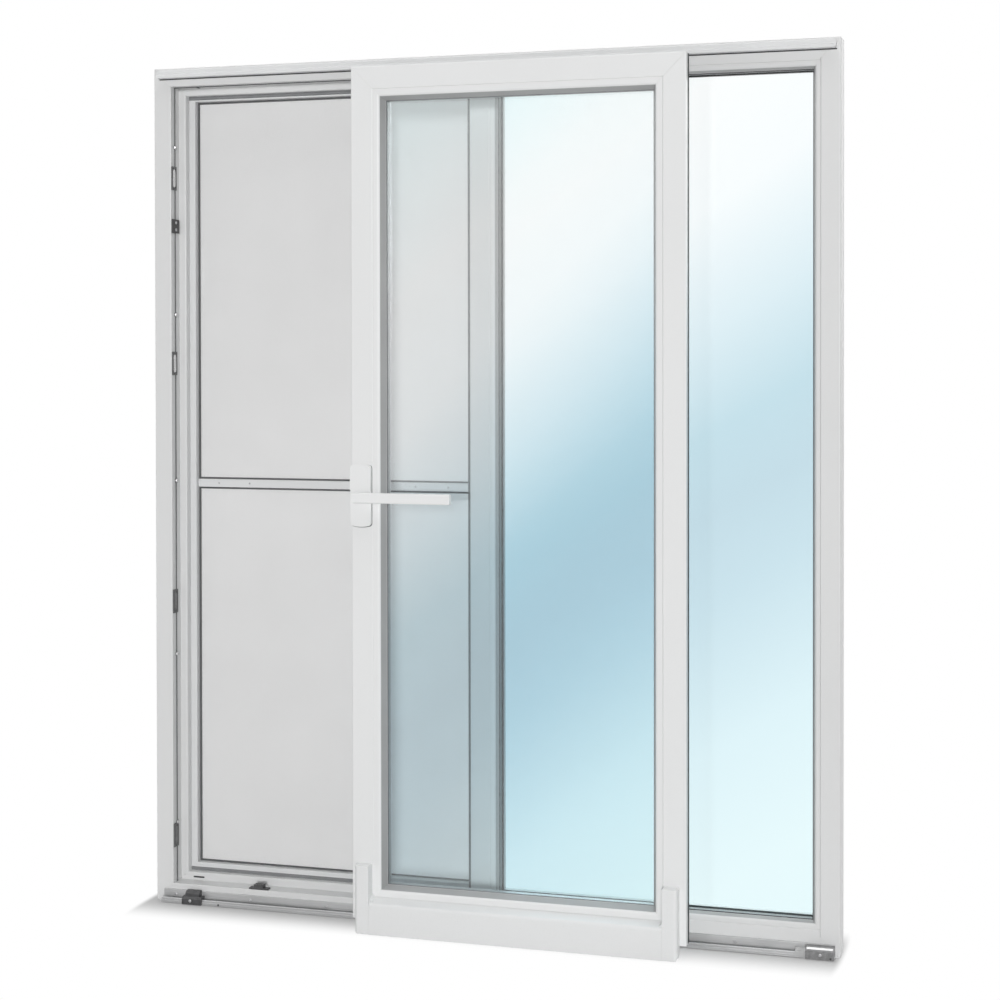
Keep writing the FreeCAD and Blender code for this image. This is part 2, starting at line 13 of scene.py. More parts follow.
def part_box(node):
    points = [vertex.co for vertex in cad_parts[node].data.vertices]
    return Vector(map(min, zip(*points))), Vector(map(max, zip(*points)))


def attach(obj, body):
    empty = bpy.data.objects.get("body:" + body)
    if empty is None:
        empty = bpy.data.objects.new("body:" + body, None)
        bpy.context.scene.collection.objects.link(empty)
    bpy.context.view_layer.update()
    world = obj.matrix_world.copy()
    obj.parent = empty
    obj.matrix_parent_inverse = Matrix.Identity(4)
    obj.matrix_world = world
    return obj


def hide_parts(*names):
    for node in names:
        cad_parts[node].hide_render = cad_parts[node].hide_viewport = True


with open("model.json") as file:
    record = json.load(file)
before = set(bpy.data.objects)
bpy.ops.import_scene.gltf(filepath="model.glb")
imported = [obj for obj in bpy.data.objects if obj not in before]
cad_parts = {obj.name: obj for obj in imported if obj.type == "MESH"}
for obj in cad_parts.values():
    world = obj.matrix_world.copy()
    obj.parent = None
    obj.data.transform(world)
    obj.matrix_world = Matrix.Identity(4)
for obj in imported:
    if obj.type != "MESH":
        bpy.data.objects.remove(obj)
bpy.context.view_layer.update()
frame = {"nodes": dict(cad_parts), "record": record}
nodes = frame["nodes"]

# Camera
camera_place = Vector((1.4758, -4.7353, 1.4429))
camera_yaw = math.radians(16.84)
camera_pitch = math.radians(-0.772)
camera_roll = math.radians(-0.08)
camera_sensor = 36.0
camera_lens = 1.9603 * camera_sensor
camera_shift = -0.118

# Light
lamps = {
    "key": dict(strength=1.52, angle=math.radians(11), place=Vector((0.24, -0.96, 0.10))),
    "top": dict(strength=2.45, angle=math.radians(90), place=Vector((0.1, 0.1, 1.0))),
    "back": dict(strength=0.90, angle=math.radians(60), place=Vector((-0.25, 0.90, 0.35))),
}
ambient = 0.04
floor_bounce = 0.75
floor_glow = 0.18
floor_shade = 0.36
floor_reach = 60.0
shadow_reach = 0.17
shadow_side = 7.0
shadow_shift = -0.010

# Finishes: two tones, then how the grain, roughness and relief run
finishes = {
    # The frame and the sash are one white PVC: the frame's copy is toned darker as painted shade and the
    # sash's lighter as painted light
    "frame_pvc_shaded": dict(
        tones=((0.68, 0.683, 0.683), (0.705, 0.708, 0.708)), cloud=2.5, grain=420,
        rough=(0.30, 0.40), relief=0.00004),
    "sash_pvc_lit": dict(
        tones=((0.78, 0.785, 0.785), (0.805, 0.81, 0.81)), cloud=2.5, grain=420,
        rough=(0.30, 0.40), relief=0.00004),
    "white_rail": dict(
        tones=((0.70, 0.705, 0.71), (0.75, 0.755, 0.76)), cloud=5.0, grain=600, stretch=(0.02, 1, 1),
        rough=(0.28, 0.42), relief=0.00003),
    "screen_white": dict(
        tones=((0.67, 0.675, 0.68), (0.70, 0.705, 0.71)), cloud=4.0, grain=900,
        rough=(0.38, 0.50), relief=0.00003),
    "cover_white": dict(
        tones=((0.765, 0.77, 0.77), (0.79, 0.795, 0.795)), cloud=3.5, grain=700,
        rough=(0.26, 0.36), relief=0.00003),
    "handle_white": dict(
        tones=((0.80, 0.805, 0.805), (0.825, 0.83, 0.83)), cloud=8.0, grain=1300,
        rough=(0.30, 0.42), relief=0.00003),
    "black_gasket": dict(
        tones=((0.012, 0.013, 0.014), (0.03, 0.031, 0.033)), cloud=30.0, grain=1500,
        rough=(0.50, 0.70), relief=0.00006),
    "grey_gasket": dict(
        tones=((0.17, 0.175, 0.18), (0.23, 0.235, 0.24)), cloud=30.0, grain=1500,
        rough=(0.50, 0.70), relief=0.00006),
    # Grey of the painted shade on the slopes of the glazing beads
    "bead_painted_shade": dict(
        tones=((0.36, 0.364, 0.366), (0.40, 0.404, 0.406)), cloud=12.0, grain=900,
        rough=(0.40, 0.55), relief=0.00003),
    "spline_grey": dict(
        tones=((0.075, 0.077, 0.08), (0.10, 0.102, 0.105)), cloud=30.0, grain=1500,
        rough=(0.50, 0.70), relief=0.00006),
    "dark_block": dict(
        tones=((0.025, 0.025, 0.026), (0.075, 0.075, 0.078)), cloud=90.0, grain=900,
        rough=(0.35, 0.60), relief=0.0002),
    "rail_aluminium": dict(
        tones=((0.38, 0.383, 0.386), (0.52, 0.523, 0.526)), cloud=9.0, grain=700, stretch=(0.01, 1, 1),
        rough=(0.30, 0.48), relief=0.00006, metallic=0.6),
    "spacer_aluminium": dict(
        tones=((0.36, 0.37, 0.38), (0.45, 0.46, 0.47)), cloud=12.0, grain=500,
        rough=(0.35, 0.50), relief=0.00003, metallic=0.7),
    "bright_steel": dict(
        tones=((0.36, 0.36, 0.37), (0.54, 0.54, 0.55)), cloud=60.0, grain=800, stretch=(1, 1, 0.1),
        rough=(0.25, 0.45), relief=0.00008, metallic=0.8),
    "stop_steel": dict(
        tones=((0.13, 0.13, 0.132), (0.26, 0.26, 0.262)), cloud=110.0, grain=600,
        rough=(0.30, 0.50), relief=0.0003, metallic=0.4),
    "pale_buffer": dict(
        tones=((0.42, 0.42, 0.42), (0.50, 0.50, 0.50)), cloud=60.0, grain=900,
        rough=(0.45, 0.60), relief=0.00006),
    "keep_steel": dict(
        tones=((0.09, 0.09, 0.092), (0.16, 0.16, 0.162)), cloud=60.0, grain=900,
        rough=(0.30, 0.50), relief=0.0001, metallic=0.4),
    # Bright steel of screws and strikes, also used for the painted highlight on the bevel of the right
    # stop
    "polished_steel_and_highlight": dict(
        tones=((0.66, 0.66, 0.66), (0.74, 0.74, 0.74)), cloud=60.0, grain=500, stretch=(0.02, 1, 1),
        rough=(0.18, 0.30), relief=0.00003, metallic=0.3),
    "dark_spacer": dict(
        tones=((0.22, 0.224, 0.228), (0.28, 0.284, 0.288)), cloud=12.0, grain=500,
        rough=(0.40, 0.55), relief=0.00003),
    "screen_mesh": dict(
        tones=((0.66, 0.66, 0.66), (0.71, 0.71, 0.71)), cloud=7.0, grain=2500,
        rough=(0.45, 0.60), relief=0.00002),
}

# Shares of broad and fine noise in a tone, and the part of the noise that is used
cloud_share = 0.6
grain_share = 0.4
noise_span = (0.3, 0.7)

# Nodes whose look differs from the rest of their slot
own_looks = {
    "right_stop": "stop_steel",
    "stop_buffer": "pale_buffer",
    "fixed_glass_spacer": "dark_spacer",
    "jamb_keeps": "keep_steel",
    "mullion_keeps": "keep_steel",
}

# Glass: tint and mirror haze of each face that light passes, along a slanted line over the pane, painting
# a reflection that runs across the pane
glass_mirror = {"sash_glass": 0.04, "fixed_glass": 0.012}
glass_depth = {"sash_glass": 0.76, "fixed_glass": 1.0}
glass_gloss = 0.12
glass_facing = 0.5
glass_falloff = 5.0
glass_waver = 0.008
glass_waver_scale = 1.2
glass_reach = 1.5
glass_slant = {"sash_glass": 0.89, "fixed_glass": 0.67}
glass_band = {"sash_glass": (0.286, 0.900), "fixed_glass": (0.681, 1.078)}
glass_reflection_share = {"sash_glass": 1.0, "fixed_glass": 0.1}
glass_painted_reflection = ((0.00, 0.050), (0.24, 0.036), (0.38, 0.012), (0.56, 0.006), (0.80, 0.020))
glass_reflection_tints = (
    (0.00, (0.963, 0.997, 1.000)),
    (0.14, (0.994, 1.000, 1.000)),
    (0.24, (0.985, 0.997, 1.000)),
    (0.34, (0.926, 0.966, 0.980)),
    (0.42, (0.866, 0.932, 0.955)),
    (0.49, (0.865, 0.925, 0.949)),
    (0.56, (0.880, 0.939, 0.961)),
    (0.68, (0.929, 0.978, 0.990)),
    (0.80, (0.949, 0.992, 0.998)),
)

# Insect mesh, its spline and the brush seals of its bars, which are dark enough to paint the shade under
# the lips
thread_pitch = 0.0015
thread_width = 0.0006
spline_radius = 0.0024
spline_gap = 0.0008
brush_size = (0.009, 0.0025)
brush_tip = 0.8
brush_sides = (-0.832, -0.046)
brush_levels = ((0.068, 1), (2.132, -1))

# Screws: shape of the head as shares, its radius and height, and where they sit
screw_rings = ((1.0, 0.0), (1.0, 0.35), (0.86, 0.8), (0.64, 1.0))
recess_reach = 0.5
recess_floor = 0.4
recess_angle = math.radians(15)
screw_head = (0.0042, 0.0022)
small_head = (0.0027, 0.0012)
rail_web = 0.004
rail_screw_start = 0.034
rail_screw_pitch = 0.213
rail_screw_count = 8
rail_screw_rise = 0.019
foot_screw = (0.164, 0.0035)
rebate_head = (0.0055, 0.0040)
rebate_washer = ((0.0074, 0.0), (0.0074, 0.0007), (0.0066, 0.0012))
rebate_screw_heights = (0.205, 0.653, 1.113, 1.552, 1.994)
rebate_screw_depth = 0.024
mullion_screw_drop = 0.02
catch_thickness = 0.004
catch_screw_offset = 0.009
crossbar_screw_insets = (0.059, 0.148)
left_stop_screw = (0.024, 0.010)
right_stop_screws = ((0.035, 0.0107), (0.060, 0.004))

# Underside of the head, inside the opening bay
rebate_top = 2.152

# Seals of the rebate, mullion, flange of the sash and handle, and strips of painted shade: the shadow line
# under the guide rail and the shade on the glazing beads; the flange seal and the handle gasket also paint
# the shadows beside the sash and under the handle
seal_width = 0.0035
seal_rise = 0.002
seal_inset = 0.020
edge_seal = (0.006, 0.002, 0.006)
guide_shadow_size = (0.0022, 0.0030)
flange_thickness = 0.020
lip_seal_inset = 0.0004
lip_seal_and_shadow_size = (0.003, 0.018)
bead_front_share = 0.62
bead_edge = 0.001
# Where the grey strips of painted shade lie along the bead slopes, and how far they stand out
bead_shade_cover = {"sash": (0.17, 0.97), "fixed": (0.26, 0.96)}
bead_shade_rise = 0.0004
handle_rim_and_shadow = (0.0009, 0.0016, 0.0010)

# Drain slots and vent, drawn as black pills that paint the shade inside them
pill_rings = ((1.0, 0.0), (1.0, 0.5), (0.8, 1.0))
lip_front = 0.013
drain_size = (0.032, 0.0042, 0.0006)
drain_height = 0.0555
drain_ends = (-0.801, -0.077)
head_slot_size = (0.028, 0.0055, 0.0006)
head_slot_place = (-0.792, 0.008, rebate_top)

# Locks
frame_height = 2.2
lock_cam = ((0.003, 0.0), (0.003, 0.0042), (0.0056, 0.0047), (0.0056, 0.0068), (0.0046, 0.0078))
lock_heights = (0.173, 0.794, 1.423, 1.912)
strike_size = (0.048, 0.013, 0.0022)
strike_seat = 0.0015
strike_split = 1.0

# Carriages, stops and cover
carriage_bolt = ((0.0052, 0.0), (0.0052, 0.0018), (0.0042, 0.0026), (0.002, 0.0026), (0.0016, 0.0012))
carriage_bolt_inset = 0.022
carriage_bolt_height = 0.042
carriage_front = -0.060
rib_count = 4
rib_width = 0.0026
rib_rise = 0.0012
buffer_bevel = 0.006
stop_bevel = 0.009
edge_margin = 0.0026
edge_rise = 0.0006
gusset_reach = 0.008
gusset_share = 0.75
cover_bevel = 0.011


def grey(level):
    """Colour of one grey level."""
    return level, level, level, 1


def socket(tree, target, value):
    """Links a socket, or sets a plain value."""
    if isinstance(value, bpy.types.NodeSocket):
        tree.links.new(value, target)
    else:
        target.default_value = value


def add_node(tree, kind, settings=None, **inputs):
    """New node with its settings and inputs."""
    made = tree.nodes.new(kind)
    for key, value in (settings or {}).items():
        setattr(made, key, value)
    for key, value in inputs.items():
        socket(tree, made.inputs[key], value)
    return made


def maths(tree, operation, *values, kind="ShaderNodeMath", **settings):
    """New maths node with its values."""
    made = add_node(tree, kind, {"operation": operation, **settings})
    for target, value in zip(made.inputs, values):
        socket(tree, target, value)
    return made


def ramp(tree, factor, stops):
    """Colour ramp with the given (place, colour) stops."""
    made = add_node(tree, "ShaderNodeValToRGB", Fac=factor)
    elements = made.color_ramp.elements
    while len(elements) < len(stops):
        elements.new(1.0)
    for element, (place, colour) in zip(elements, stops):
        element.position = place
        element.color = (*colour, 1.0)
    return made.outputs["Color"]


def noise(tree, scale, stretch=(1, 1, 1), detail=3.0):
    """Noise over the object's own coordinates, drawn out along an axis where stretch is small."""
    place = add_node(tree, "ShaderNodeTexCoord").outputs["Object"]
    mapped = add_node(tree, "ShaderNodeMapping", Vector=place, Scale=stretch).outputs["Vector"]
    made = add_node(tree, "ShaderNodeTexNoise", Vector=mapped, Scale=scale, Detail=detail)
    return made.outputs["Fac"]


def spread(tree, value, low, high):
    """Noise brought to the range from low to high."""
    made = add_node(tree, "ShaderNodeMapRange", Value=value)
    limits = (*noise_span, low, high)
    for name, limit in zip(("From Min", "From Max", "To Min", "To Max"), limits):
        made.inputs[name].default_value = limit
    return made.outputs["Result"]


def finish(name, tones, cloud, grain, rough, relief, stretch=(1, 1, 1), metallic=0.0):
    """Opaque finish with broad tone changes, uneven roughness and a fine surface grain."""
    material = bpy.data.materials.new(name)
    material.use_nodes = True
    tree = material.node_tree
    shader = tree.nodes["Principled BSDF"]
    broad = noise(tree, cloud)
    fine = noise(tree, grain, stretch)
    blend = maths(tree, "ADD", spread(tree, broad, 0.0, cloud_share), spread(tree, fine, 0.0, grain_share))
    socket(tree, shader.inputs["Base Color"], ramp(tree, blend.outputs[0], list(zip((0.0, 1.0), tones))))
    socket(tree, shader.inputs["Roughness"], spread(tree, fine, *rough))
    bump = add_node(tree, "ShaderNodeBump", Height=fine, Strength=1.0, Distance=relief)
    socket(tree, shader.inputs["Normal"], bump.outputs["Normal"])
    shader.inputs["Metallic"].default_value = metallic
    return material


def mixed(tree, factor, low, high):
    """Mix of two shaders."""
    made = add_node(tree, "ShaderNodeMixShader", Fac=factor)
    socket(tree, made.inputs[1], low.outputs[0])
    socket(tree, made.inputs[2], high.outputs[0])
    return made


def glass(node_name):
    """Clear glass whose tint and haze run along a slanted line as a painted reflection across the pane,
    with a gloss that grows at low angles.

    It lets light through undimmed, so that what stands behind it is lit as the rest is.
    """
    material = bpy.data.materials.new(node_name)
    material.use_nodes = True
    tree = material.node_tree
    tree.nodes.remove(tree.nodes["Principled BSDF"])
    place = add_node(tree, "ShaderNodeTexCoord").outputs["Object"]
    band_x, band_z = glass_band[node_name]
    along = Vector((glass_slant[node_name], 0, -1)) / (2 * glass_reach)
    reach = maths(tree, "DOT_PRODUCT", place, along, kind="ShaderNodeVectorMath").outputs["Value"]
    centred = maths(tree, "ADD", reach, 0.5 - along.dot(Vector((band_x, 0, band_z)))).outputs[0]
    waver = spread(tree, noise(tree, glass_waver_scale, detail=1.0), -glass_waver, glass_waver)
    uneven = maths(tree, "ADD", centred, waver).outputs[0]
    depth = glass_depth[node_name]
    painted_tints = [(stop, tuple(share ** depth for share in colour)) for stop, colour in glass_reflection_tints]
    clear = add_node(tree, "ShaderNodeBsdfTransparent", Color=ramp(tree, uneven, painted_tints))
    gloss = add_node(tree, "ShaderNodeBsdfGlossy", Color=grey(1), Roughness=glass_gloss)
    facing = add_node(tree, "ShaderNodeLayerWeight", Blend=glass_facing).outputs["Facing"]
    steep = maths(tree, "POWER", facing, glass_falloff).outputs[0]
    mirror = glass_mirror[node_name]
    sheen = maths(tree, "MULTIPLY_ADD", steep, 1.0 - mirror, mirror).outputs[0]
    reflection_stops = [(stop, grey(glass_reflection_share[node_name] * share)[:3]) for stop, share in glass_painted_reflection]
    gloss_and_painted_reflection = maths(tree, "ADD", sheen, ramp(tree, uneven, reflection_stops), use_clamp=True).outputs[0]
    mix = mixed(tree, gloss_and_painted_reflection, clear, gloss)
    unshaded = add_node(tree, "ShaderNodeBsdfTransparent", Color=grey(1))
    shadow = add_node(tree, "ShaderNodeLightPath").outputs["Is Shadow Ray"]
    lit = mixed(tree, shadow, mix, unshaded)
    socket(tree, tree.nodes["Material Output"].inputs["Surface"], lit.outputs[0])
    return material


materials = {name: finish(name, **values) for name, values in finishes.items()}


def node_material(name, slot):
    """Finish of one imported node."""
    if slot == "clear_glass":
        return glass(name)
    if slot == "white_pvc":
        # Frame and sash share one PVC, in a darker copy of painted shade and a lighter copy of painted
        # light
        return materials["sash_pvc_lit" if name.startswith("sash") else "frame_pvc_shaded"]
    return materials[own_looks.get(name, slot)]


def dress_nodes():
    """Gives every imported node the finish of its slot."""
    for row in frame["record"]["subparts"]:
        name = row["node"]
        nodes[name].data.materials.clear()
        nodes[name].data.materials.append(node_material(name, row["material_slot"]))


def join(shapes):
    """Several (points, faces) shapes as one."""
    points, faces = [], []
    for shape_points, shape_faces in shapes:
        start = len(points)
        points += list(shape_points)
        faces += [tuple(start + index for index in face) for face in shape_faces]
    return points, faces


def placed(shape, place, direction):
    """Shape made about +Z, turned to point along a direction and moved to its place."""
    turn = Vector((0, 0, 1)).rotation_difference(Vector(direction)).to_matrix()
    return [turn @ Vector(point) + Vector(place) for point in shape[0]], shape[1]


def add_piece(name, shape, slot, body, smooth=False, look=None):
    """New mesh piece that takes its finish from a slot, or a look of its own, and rides on a body."""
    mesh = bpy.data.meshes.new(name)
    mesh.from_pydata([tuple(point) for point in shape[0]], [], shape[1])
    shell = bmesh.new()
    shell.from_mesh(mesh)
    bmesh.ops.recalc_face_normals(shell, faces=shell.faces)
    shell.to_mesh(mesh)
    shell.free()
    mesh.polygons.foreach_set("use_smooth", [smooth] * len(mesh.polygons))
    mesh.materials.append(materials[look or slot])
    piece = bpy.data.objects.new(name, mesh)
    bpy.context.scene.collection.objects.link(piece)
    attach(piece, body)
    return piece


def block(low, high):
    """Box between two corners."""
    points = [(x, y, z) for x in (low[0], high[0]) for y in (low[1], high[1]) for z in (low[2], high[2])]
    faces = [(0, 1, 3, 2), (4, 6, 7, 5), (0, 4, 5, 1), (2, 3, 7, 6), (0, 2, 6, 4), (1, 5, 7, 3)]
    return points, faces


def stacked(count, rings):
    """Faces of a closed base and of the walls between rings of points."""
    faces = [tuple(reversed(range(count)))]
    for ring in range(rings - 1):
        low, high = ring * count, (ring + 1) * count
        for step in range(count):
            after = (step + 1) % count
            faces.append((low + step, low + after, high + after, high + step))
    return faces


def screw(radius, height):
    """Pan-head screw with a cross recess."""
    arm = recess_reach * radius
    half = arm * math.tan(recess_angle)
    quarter = [(arm, -half), (arm, half), (half, half)]
    cross = []
    for turn in range(4):
        c, s = round(math.cos(turn * math.pi / 2)), round(math.sin(turn * math.pi / 2))
        cross += [(x * c - y * s, x * s + y * c) for x, y in quarter]
    count = len(cross)
    angles = [(2 * step - 1) * math.pi / count for step in range(count)]
    points = []
    for share, level in screw_rings:
        reach = share * radius
        points += [(reach * math.cos(a), reach * math.sin(a), level * height) for a in angles]
    for level in (1.0, recess_floor):
        points += [(x, y, level * height) for x, y in cross]
    rings = len(screw_rings) + 2
    faces = stacked(count, rings)
    floor = (rings - 1) * count
    inner = [floor + 3 * turn + 2 for turn in range(4)]
    faces.append(tuple(inner))
    for turn in range(4):
        faces.append((floor + 3 * turn, floor + 3 * turn + 1, inner[turn], inner[turn - 1]))
    return points, faces


def turned(profile, sides=20):
    """Round shape about +Z through (radius, height) points, closed at both ends."""
    points = []
    for radius, height in profile:
        for side in range(sides):
            angle = 2 * math.pi * side / sides
            points.append((radius * math.cos(angle), radius * math.sin(angle), height))
    faces = stacked(sides, len(profile))
    faces.append(tuple(range(len(points) - sides, len(points))))
    return points, faces


def pill(length, width, height, sides=8):
    """Low plate about +Z with round ends along X and a bevelled rim."""
    points = []
    for share, level in pill_rings:
        for end in (1, -1):
            for side in range(sides + 1):
                angle = math.pi * (side / sides - 0.5)
                x = end * ((length - width) / 2 + share * width / 2 * math.cos(angle))
                points.append((x, end * share * width / 2 * math.sin(angle), level * height))
    count = 2 * (sides + 1)
    faces = stacked(count, len(pill_rings))
    faces.append(tuple(range(len(points) - count, len(points))))
    return points, faces


def prism(profile, x0, x1):
    """Outline in (y, z), drawn out from x0 to x1."""
    count = len(profile)
    points = [(x, y, z) for x in (x0, x1) for y, z in profile]
    return points, stacked(count, 2) + [tuple(range(count, 2 * count))]


def mesh_panels():
    """Low and high corners of the two panels of insect mesh, below and above the crossbar."""
    low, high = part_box("screen_mesh")
    bar_low, bar_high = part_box("screen_crossbar")
    return [
        (low, Vector((high.x, high.y, bar_low.z))),
        (Vector((low.x, low.y, bar_high.z)), high),
    ]


def insect_mesh():
    """Crossed threads that fill both panels."""
    shapes = []
    half = thread_width / 2
    for low, high in mesh_panels():
        middle = (low.y + high.y) / 2
        for index in range(1, int((high.x - low.x) / thread_pitch)):
            x = low.x + index * thread_pitch
            shapes.append(block((x - half, middle, low.z), (x + half, middle + thread_width, high.z)))
        for index in range(1, int((high.z - low.z) / thread_pitch)):
            z = low.z + index * thread_pitch
            shapes.append(block((low.x, middle - thread_width, z - half), (high.x, middle, z + half)))
    piece = add_piece("insect_mesh", join(shapes), "screen_mesh", "frame")
    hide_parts("screen_mesh")


def swept(path, profile, closed):
    """Profile of (reach, y) points carried along (x, z, inward x, inward z) corners."""
    points = [(x + inward_x * reach, y, z + inward_z * reach)
              for x, z, inward_x, inward_z in path for reach, y in profile]
    count = len(profile)
    faces = []
    for corner in range(len(path) if closed else len(path) - 1):
        start, end = corner * count, (corner + 1) % len(path) * count
        for side in range(count):
            after = (side + 1) % count
            faces.append((start + side, start + after, end + after, end + side))
    if not closed:
        faces += [tuple(reversed(range(count))), tuple(range(len(points) - count, len(points)))]
    return points, faces


def corners(low, high):
    """Corners of an upright rectangle, each with its way inwards."""
    return [(low.x, low.z, 1, 1), (high.x, low.z, -1, 1), (high.x, high.z, -1, -1), (low.x, high.z, 1, -1)]


def cord_ring(low, high, y, radius, sides=10):
    """Round cord along the four sides of a rectangle, mitred at its corners."""
    angles = [2 * math.pi * side / sides for side in range(sides)]
    profile = [(radius * (1 + math.cos(angle)), y + radius * math.sin(angle)) for angle in angles]
    return swept(corners(low, high), profile, True)


def screen_spline():
    """Spline cord that holds the mesh in its bars."""
    shapes = []
    for low, high in mesh_panels():
        y = (low.y + high.y) / 2 - thread_width - spline_radius
        inset = Vector((spline_gap, 0, spline_gap))
        shapes.append(cord_ring(low + inset, high - inset, y, spline_radius))
    add_piece("screen_spline", join(shapes), "black_gasket", "frame", smooth=True, look="spline_grey")


def screen_brushes_and_shade():
    """Dark brush seals that close the screen against the lips of the sill and the head, and paint the
    shade under these lips.
    """
    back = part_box("screen_bar_bottom")[0].y
    height, thickness = brush_size
    shapes = []
    for level, way in brush_levels:
        profile = [(back, level), (back - thickness, level),
                   (back - thickness, level + way * brush_tip * height), (back, level + way * height)]
        shapes.append(prism(profile, *brush_sides))
    add_piece("screen_brushes_and_shade", join(shapes), "grey_gasket", "frame")


def screws(places, head=screw_head):
    """Screws at the given (place, direction) pairs."""
    return join([placed(screw(*head), place, direction) for place, direction in places])


def rail_fasteners():
    """Screws along the running rail and on its stops."""
    low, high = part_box("running_rail")
    room = (0, -1, 0)
    start, y, z = low.x + rail_screw_start, high.y - rail_web, low.z + rail_screw_rise
    web = [((start + step * rail_screw_pitch, y, z), room) for step in range(rail_screw_count)]
    left_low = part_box("left_stop")[0]
    web.append(((left_low.x + left_stop_screw[0], left_low.y, left_low.z + left_stop_screw[1]), room))
    right_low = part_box("right_stop")[0]
    button, pin = [((right_low.x + along, right_low.y, right_low.z + rise), room)
                   for along, rise in right_stop_screws]
    add_piece("rail_screws", screws(web + [button]), "bright_steel", "frame")
    foot = ((low.x + foot_screw[0], low.y, low.z + foot_screw[1]), room)
    add_piece("rail_pins", screws([foot, pin], small_head), "dark_block", "frame")


def rebate_fasteners():
    """Screws in the rebate of the opening bay, on the catches and on the crossbar of the screen."""
    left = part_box("jamb_keeps")[0].x
    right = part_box("mullion_keeps")[1].x
    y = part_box("left_jamb")[0].y + rebate_screw_depth
    places = []
    for height in rebate_screw_heights:
        places.append(((left, y, height), (1, 0, 0)))
        places.append(((right, y, height - mullion_screw_drop), (-1, 0, 0)))
    add_piece("rebate_screws", screws(places, rebate_head), "bright_steel", "frame", look="polished_steel_and_highlight")
    washers = [placed(turned(rebate_washer), *place) for place in places]
    add_piece("rebate_washers", join(washers), "dark_block", "frame")
    low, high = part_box("rebate_catches")
    centre = (low + high) / 2
    places = []
    for side in (-1, 1):
        z = centre.z + side * catch_screw_offset
        places.append(((low.x + catch_thickness, centre.y, z), (1, 0, 0)))
        places.append(((high.x - catch_thickness, centre.y, z), (-1, 0, 0)))
    add_piece("catch_screws", screws(places), "bright_steel", "frame")
    low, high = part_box("screen_crossbar")
    z = (low.z + high.z) / 2
    places = []
    for gap in crossbar_screw_insets:
        places += [((low.x + gap, low.y, z), (0, -1, 0)), ((high.x - gap, low.y, z), (0, -1, 0))]
    add_piece("crossbar_screws", screws(places, small_head), "bright_steel", "frame")


def keep_strikes():
    """Strikes in the keeps, bright in the upper ones and dark in the lower ones."""
    bright, dark = [], []
    left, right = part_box("jamb_keeps"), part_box("mullion_keeps")
    y = (left[0].y + left[1].y) / 2
    for height in lock_heights:
        seats = (((left[0].x + strike_seat, y, height), (1, 0, 0)),
                 ((right[1].x - strike_seat, y, frame_height - height), (-1, 0, 0)))
        for place, direction in seats:
            shapes = bright if place[2] > strike_split else dark
            shapes.append(placed(pill(*strike_size), place, direction))
    add_piece("bright_strikes", join(bright), "bright_steel", "frame", look="polished_steel_and_highlight")
    add_piece("dark_strikes", join(dark), "bright_steel", "frame", look="stop_steel")


def rebate_seal():
    """Seal along both sides and the top of the opening bay, part-way into its rebate."""
    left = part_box("jamb_keeps")[0].x
    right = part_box("mullion_keeps")[1].x
    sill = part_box("tilt_keep")[0].z
    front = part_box("left_jamb")[0].y + seal_inset
    back = front + seal_width
    slope = seal_rise / 2
    path = [(left, sill, 1, 0), (left, rebate_top, 1, -1),
            (right, rebate_top, -1, -1), (right, sill, -1, 0)]
    profile = [(0, front), (seal_rise, front + slope), (seal_rise, back - slope), (0, back)]
    add_piece("rebate_seal", swept(path, profile, False), "black_gasket", "frame", look="spline_grey")


def mullion_seal():
    """Seal along the edge of the mullion, which the closed sash presses against."""
    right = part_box("mullion_keeps")[1].x
    reach, near, far = edge_seal
    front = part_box("mullion")[0].y
    slope = (far - near) / 4
    path = [(right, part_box("tilt_keep")[0].z, -1, 0), (right, rebate_top, -1, 0)]
    profile = [(0, front + near), (reach, front + near + slope),
               (reach, front + far - slope), (0, front + far)]
    add_piece("mullion_seal", swept(path, profile, False), "black_gasket", "frame", look="spline_grey")


def guide_shadow_line():
    """Thin black strip under the head guide rail, against the face of the head: a painted shadow line."""
    low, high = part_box("head_guide_rail")
    drop, reach = guide_shadow_size
    profile = [(high.y, low.z), (high.y - reach, low.z),
               (high.y - reach / 2, low.z - drop), (high.y, low.z - drop)]
    add_piece("guide_shadow_line", prism(profile, low.x, high.x), "black_gasket", "frame")


def flange_seal_and_shadow():
    """Lip seal around the back of the flange of the sash, made deep so that its black side also paints the
    shadow in the gap beside the sash.
    """
    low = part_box("sash_left_stile")[0]
    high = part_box("sash_right_stile")[1]
    thickness, depth = lip_seal_and_shadow_size
    front = low.y + flange_thickness
    profile = [(lip_seal_inset, front), (lip_seal_inset + thickness, front),
               (lip_seal_inset + thickness, front + depth), (lip_seal_inset, front + depth)]
    add_piece("flange_seal_and_shadow", swept(corners(low, high), profile, True), "black_gasket", "sash")


def bead_shade_strips():
    """Grey strips along the slopes of the glazing beads, next to the glass, that paint the shade on these
    slopes.
    """
    for prefix, body in (("sash", "sash"), ("fixed", "frame")):
        sides = {side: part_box(prefix + "_bead_" + side) for side in ("left", "right", "bottom", "top")}
        outer, inner = sides["left"]
        low = Vector((inner.x, outer.y, sides["bottom"][1].z))
        high = Vector((sides["right"][0].x, inner.y, sides["top"][0].z))
        crest = Vector(((1 - bead_front_share) * (outer.x - inner.x), outer.y))
        along = Vector((0, inner.y - bead_edge)) - crest
        start, end = [crest + share * along for share in bead_shade_cover[prefix]]
        outward = bead_shade_rise * Vector((along.y, -along.x)).normalized()
        profile = [start, end, end + outward, start + outward]
        shape = swept(corners(low, high), profile, True)
        add_piece(prefix + "_bead_shade_strips", shape, "grey_gasket", body, look="bead_painted_shade")


